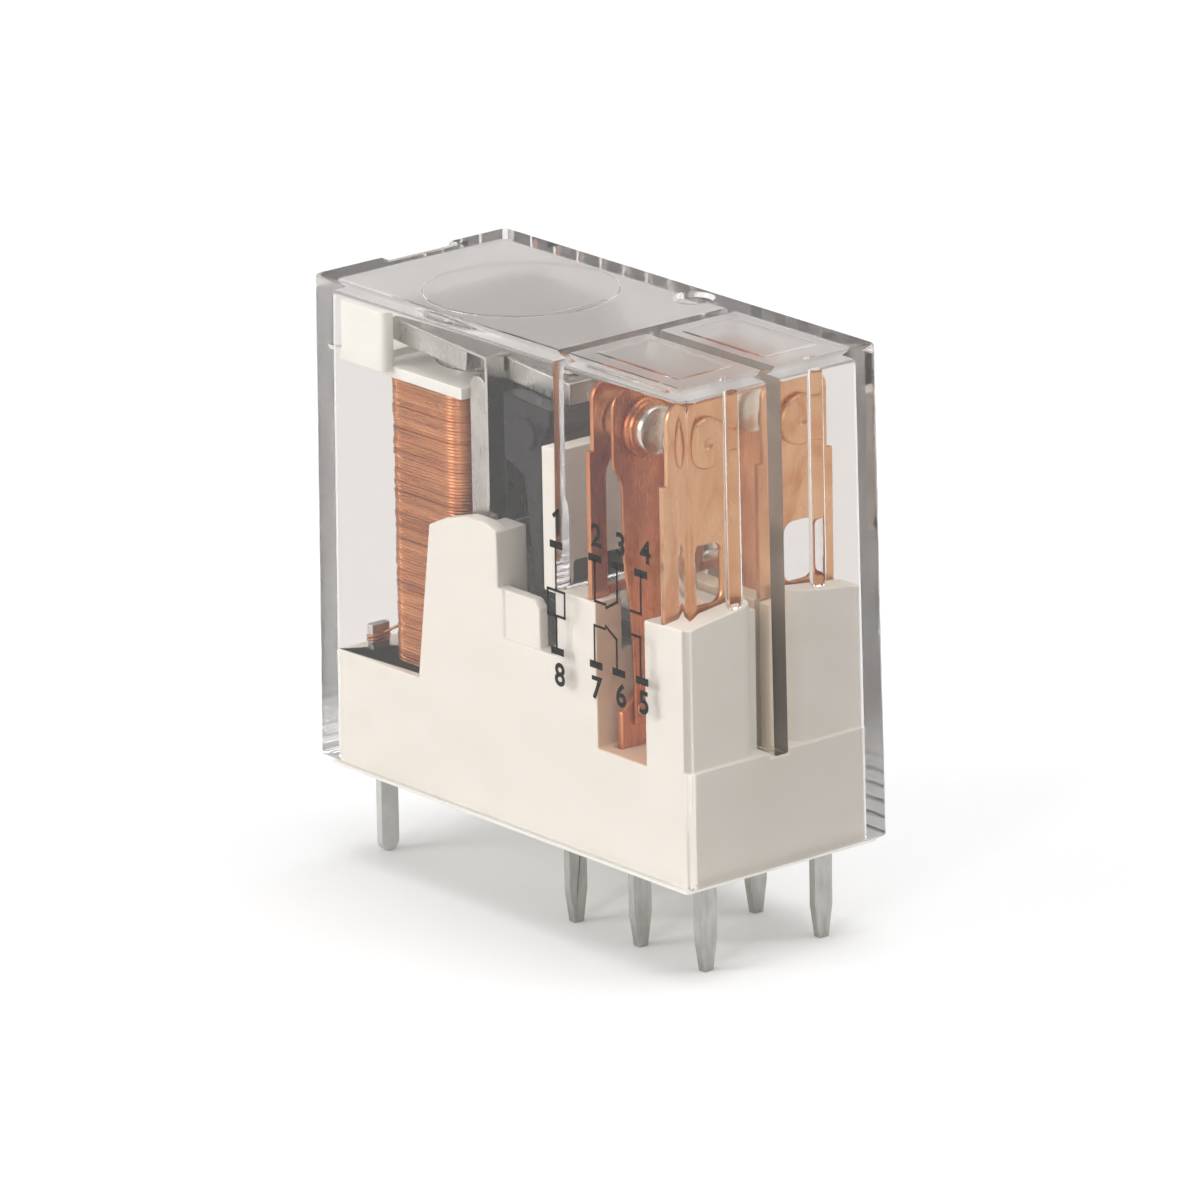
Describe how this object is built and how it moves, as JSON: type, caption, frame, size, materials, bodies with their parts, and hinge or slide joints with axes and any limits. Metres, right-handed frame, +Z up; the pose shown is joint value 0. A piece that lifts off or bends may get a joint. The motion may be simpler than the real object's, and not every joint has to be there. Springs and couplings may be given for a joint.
{
  "type": "industrial control relay",
  "caption": "Plug-in electromechanical control relay with change-over contacts, coil, rocking armature and clear dust cover.",
  "frame": {"origin": "centre of the seating face under the base, in the middle of the cover's length and width", "axes": "+X along the length from the coil to the contacts, +Y across the width, +Z up, away from the pins"},
  "size_m": [0.0292, 0.0126, 0.0306],
  "materials": {
    "base_plastic": "fine matte moulding, ivory",
    "clear_cover": "clear polycarbonate, polished",
    "bobbin_plastic": "matte moulding, white",
    "enamelled_wire": "enamelled copper wire",
    "plated_iron": "satin plated soft iron",
    "spring_steel": "bright rolled strip",
    "black_plastic": "glossy black moulding",
    "rivet_steel": "bright",
    "tinned_pin": "tinned, satin",
    "silver_contact": "silver alloy",
    "copper_alloy": "rolled copper alloy, pins tinned below the seating face"
  },
  "bodies": {
    "housing": {"base": "base_plastic", "cover": "clear_cover", "bobbin": "bobbin_plastic", "coil_winding": "enamelled_wire", "iron_core": "plated_iron", "yoke": "plated_iron", "hinge_spring": "spring_steel", "coil_terminal_1": "tinned_pin", "coil_terminal_8": "tinned_pin", "coil_lead_1": "enamelled_wire", "coil_lead_8": "enamelled_wire", "nc_terminal_2": "copper_alloy", "nc_terminal_7": "copper_alloy", "nc_contact_2": "silver_contact", "nc_contact_7": "silver_contact", "com_terminal_3": "copper_alloy", "com_terminal_6": "copper_alloy", "no_terminal_4": "copper_alloy", "no_terminal_5": "copper_alloy", "no_contact_4": "silver_contact", "no_contact_5": "silver_contact"},
    "rocker": {"armature": "plated_iron", "actuator": "black_plastic", "actuator_rivets": "rivet_steel"},
    "contact_spring_3": {"moving_spring_3": "copper_alloy", "moving_contact_3": "silver_contact", "spring_rivets_3": "rivet_steel"},
    "contact_spring_6": {"moving_spring_6": "copper_alloy", "moving_contact_6": "silver_contact", "spring_rivets_6": "rivet_steel"}
  },
  "joints": [
    {"name": "armature_hinge", "type": "hinge", "parent": "housing", "child": "rocker", "pos_m": [-0.00355, 0, 0.02175], "axis": [0, -1, 0], "range_deg": [0, 4.5], "stiffness_Nm_per_rad": 0.02, "springref_deg": -5.73, "deforming": ["hinge_spring"]},
    {"name": "contact_spring_3_flex", "type": "hinge", "parent": "housing", "child": "contact_spring_3", "pos_m": [0.00795, -0.003, 0.0069], "axis": [0, 1, 0], "range_deg": [0, 4.8]},
    {"name": "contact_spring_6_flex", "type": "hinge", "parent": "housing", "child": "contact_spring_6", "pos_m": [0.00795, 0.003, 0.0069], "axis": [0, 1, 0], "range_deg": [0, 4.8]}
  ],
  "couplings": [
    {"joint": "contact_spring_3_flex", "follows": "armature_hinge", "ratio": 1.0667},
    {"joint": "contact_spring_6_flex", "follows": "armature_hinge", "ratio": 1.0667}
  ]
}
